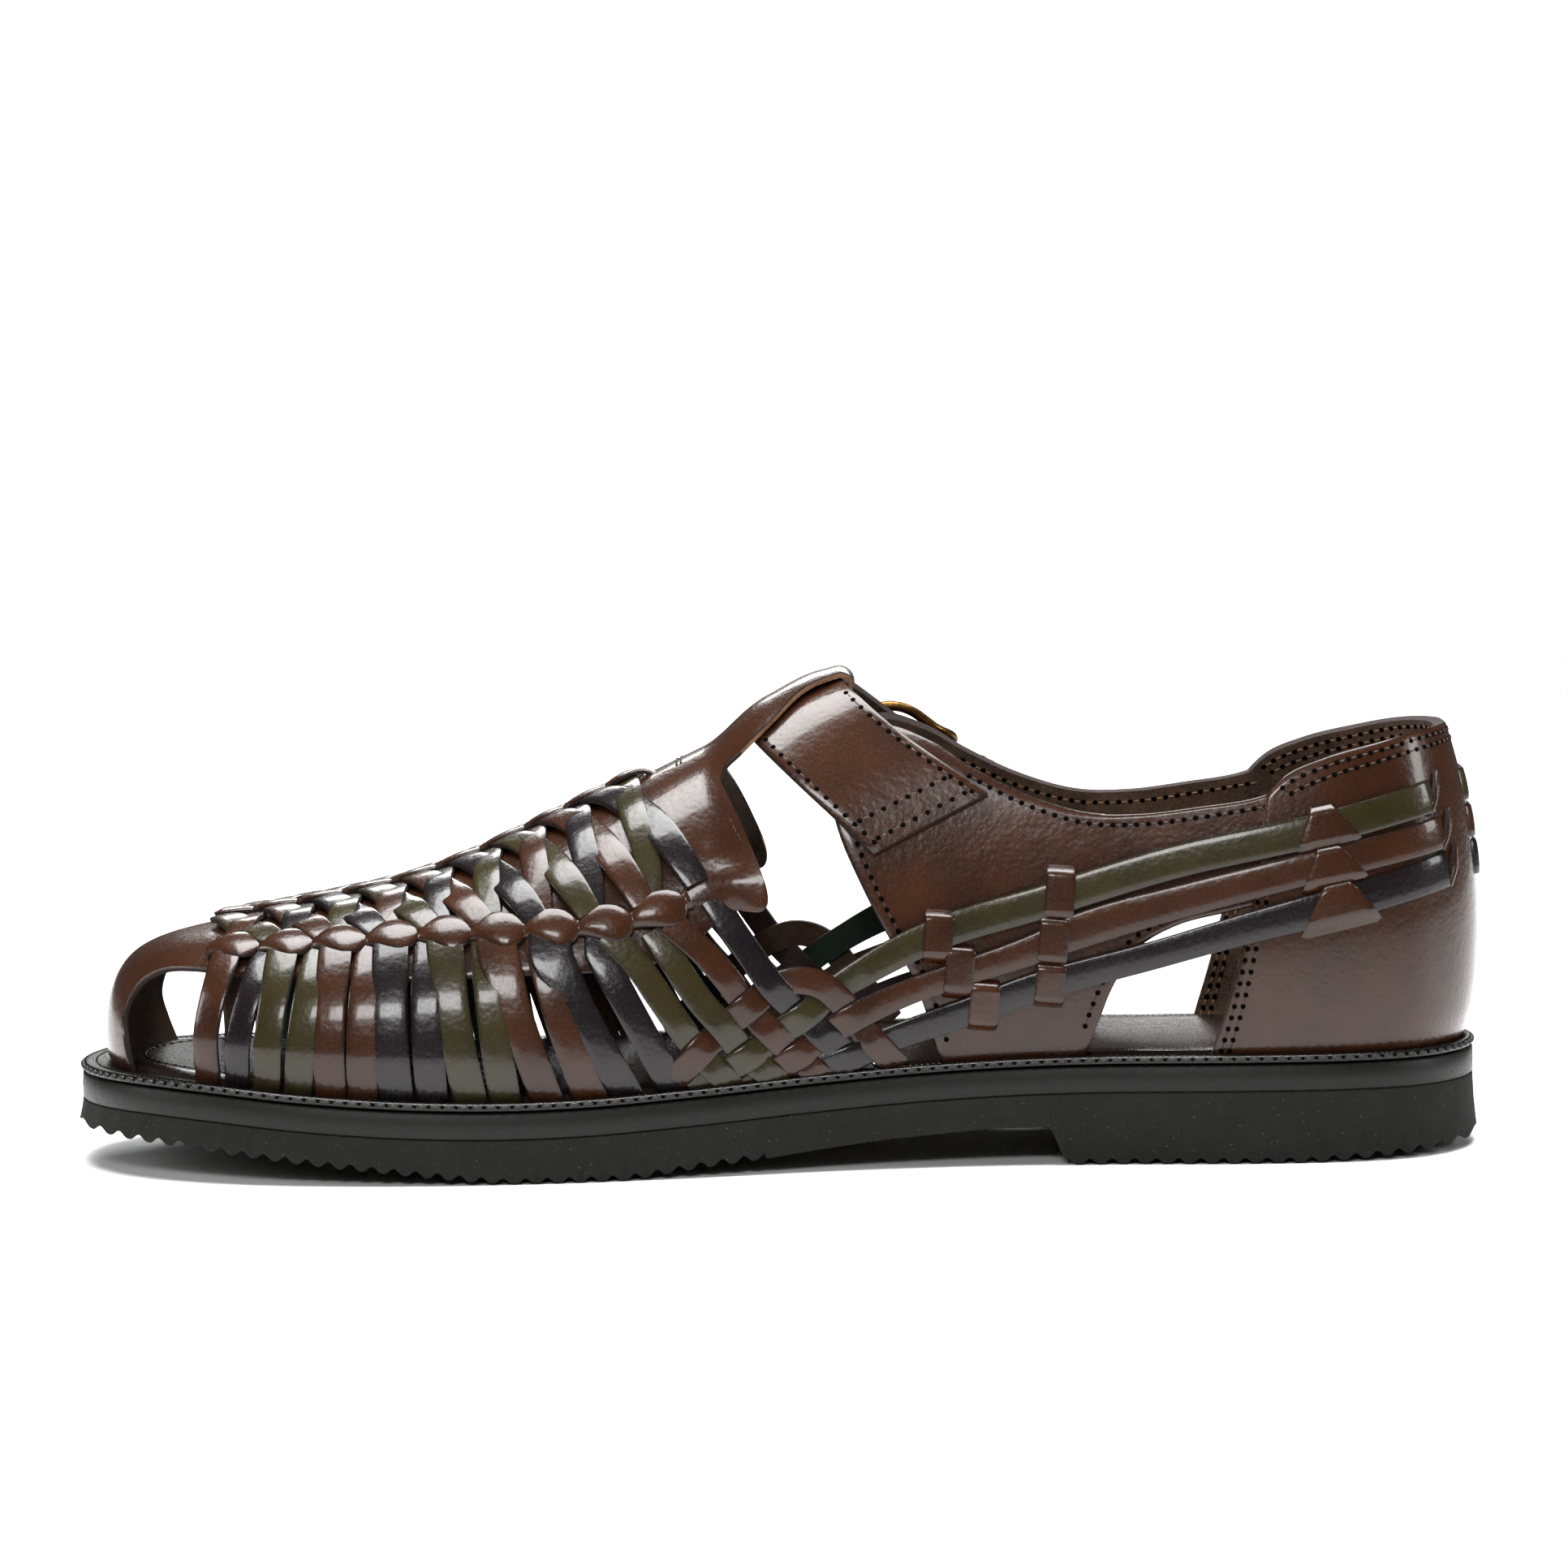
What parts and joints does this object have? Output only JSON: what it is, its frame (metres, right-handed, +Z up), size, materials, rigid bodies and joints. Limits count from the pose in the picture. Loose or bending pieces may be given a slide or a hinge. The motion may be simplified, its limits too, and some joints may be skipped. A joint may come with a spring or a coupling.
{
  "type": "huarache sandal",
  "caption": "Right woven leather sandal with open toe, three back straps, suede-lined heel counter and a buckled ankle strap through a tongue loop, on a welted rubber sole.",
  "frame": {"origin": "middle of the shoe's box, on the floor under the sole", "axes": "+X towards the heel, -Y the inner (medial) side, +Z up"},
  "size_m": [0.3016, 0.1076, 0.1027],
  "materials": {
    "brown_leather": "glossy polished cowhide, chestnut brown",
    "olive_leather": "glossy polished cowhide, dark olive",
    "black_leather": "glossy polished cowhide, black with an aubergine cast",
    "suede_lining": "matt brown suede, flesh side",
    "insole_leather": "dark polished insole board",
    "outsole_rubber": "matt speckled foam rubber",
    "midsole_rubber": "smooth semi-gloss rubber",
    "welt_rubber": "black ribbed and stitched",
    "thread": "dark waxed thread",
    "old_brass": "antique brass"
  },
  "bodies": {
    "root": {"outsole": "outsole_rubber", "midsole": "midsole_rubber", "welt": "welt_rubber", "insole": "insole_leather", "upper": "brown_leather", "heel_counter": "brown_leather", "ankle_strap": "brown_leather", "buckle_tab": "brown_leather", "buckle_frame": "old_brass", "buckle_prong": "old_brass", "strap_keeper": "brown_leather", "heel_strap_olive": "olive_leather", "heel_strap_brown": "brown_leather", "heel_strap_black": "black_leather"}
  },
  "joints": []
}
